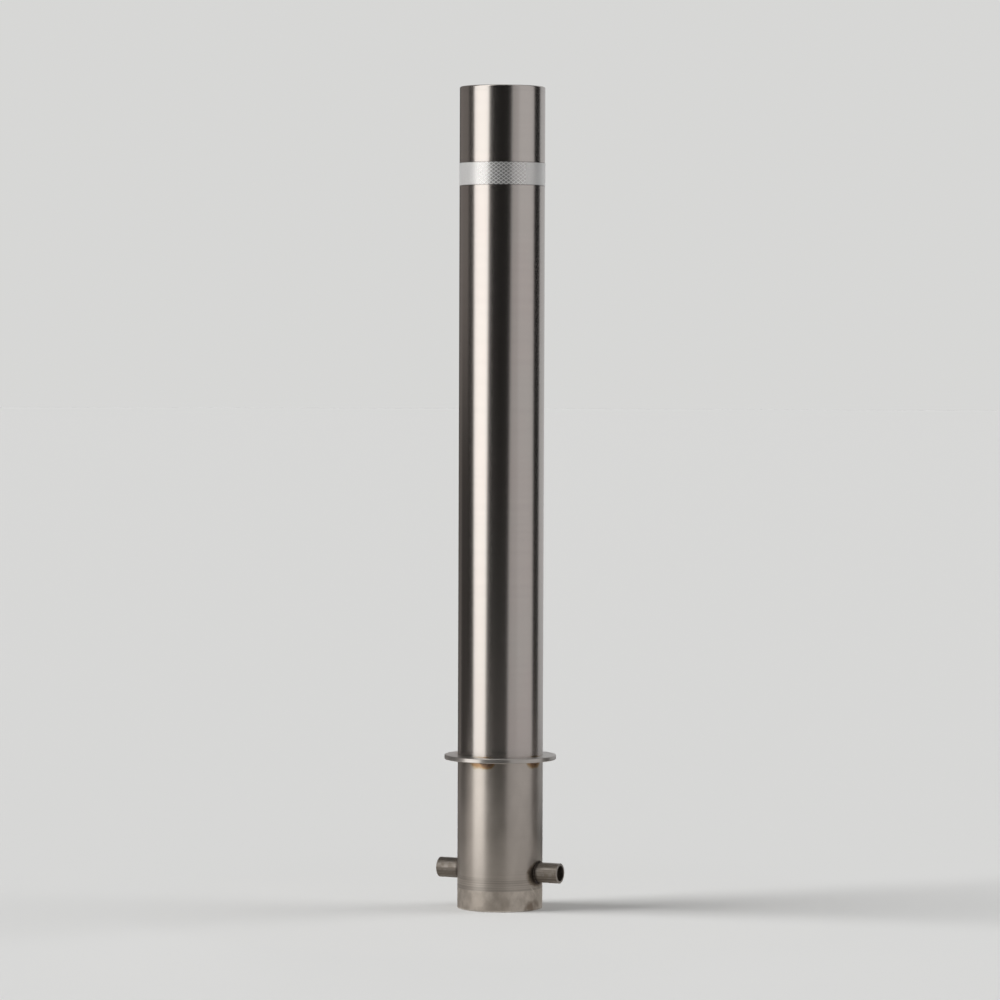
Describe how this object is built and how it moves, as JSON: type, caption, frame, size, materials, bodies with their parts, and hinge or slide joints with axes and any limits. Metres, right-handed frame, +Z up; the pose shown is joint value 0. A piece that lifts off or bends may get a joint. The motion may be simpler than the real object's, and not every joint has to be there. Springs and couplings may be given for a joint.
{
  "type": "fixed bollard",
  "caption": "Round fixed bollard for casting into the ground: capped steel tube, reflective band, ground flange and a cross bar through the root.",
  "frame": {"origin": "on the tube's axis at the ground line, which is the underside of the flange", "axes": "+Z up along the tube, X along the anchor bar"},
  "size_m": [0.178, 0.15, 1.1],
  "materials": {
    "post_steel": "stainless steel, satin polished round the tube above the flange and duller on the root",
    "flange_steel": "stainless steel plate, turned and satin polished",
    "bar_steel": "stainless steel tube, rough mill finish",
    "weld_steel": "stainless weld metal, heat tinted where it was not ground",
    "reflective_tape": "silver-white reflective tape with a diamond lattice under a clear face"
  },
  "bodies": {
    "root": {"post_tube": "post_steel", "top_cap": "post_steel", "cap_weld": "weld_steel", "reflective_band": "reflective_tape", "ground_flange": "flange_steel", "flange_tack_welds": "weld_steel", "anchor_bar": "bar_steel", "anchor_bar_welds": "weld_steel"}
  },
  "joints": []
}
